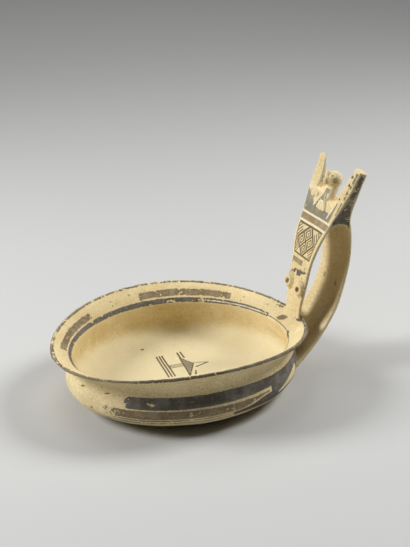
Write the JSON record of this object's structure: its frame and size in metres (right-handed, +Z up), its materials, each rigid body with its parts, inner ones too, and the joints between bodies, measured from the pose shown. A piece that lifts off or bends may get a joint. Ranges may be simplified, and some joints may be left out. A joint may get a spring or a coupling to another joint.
{
  "type": "kyathos",
  "caption": "Shallow fired clay dipping bowl with an everted rim, painted bands and a tall looped strap handle that ends in two horns with a small figure between them.",
  "frame": {"origin": "centre of the flat underside, on the bowl's axis", "axes": "+Z up out of the bowl, +X towards the handle, +Y to the handle's left seen from the bowl"},
  "size_m": [0.24, 0.196, 0.161],
  "materials": {
    "clay": "matt buff fired clay with a cream surface, worn and flaked brown and dark grey painted bands"
  },
  "bodies": {
    "root": {"kyathos": "clay"}
  },
  "joints": []
}
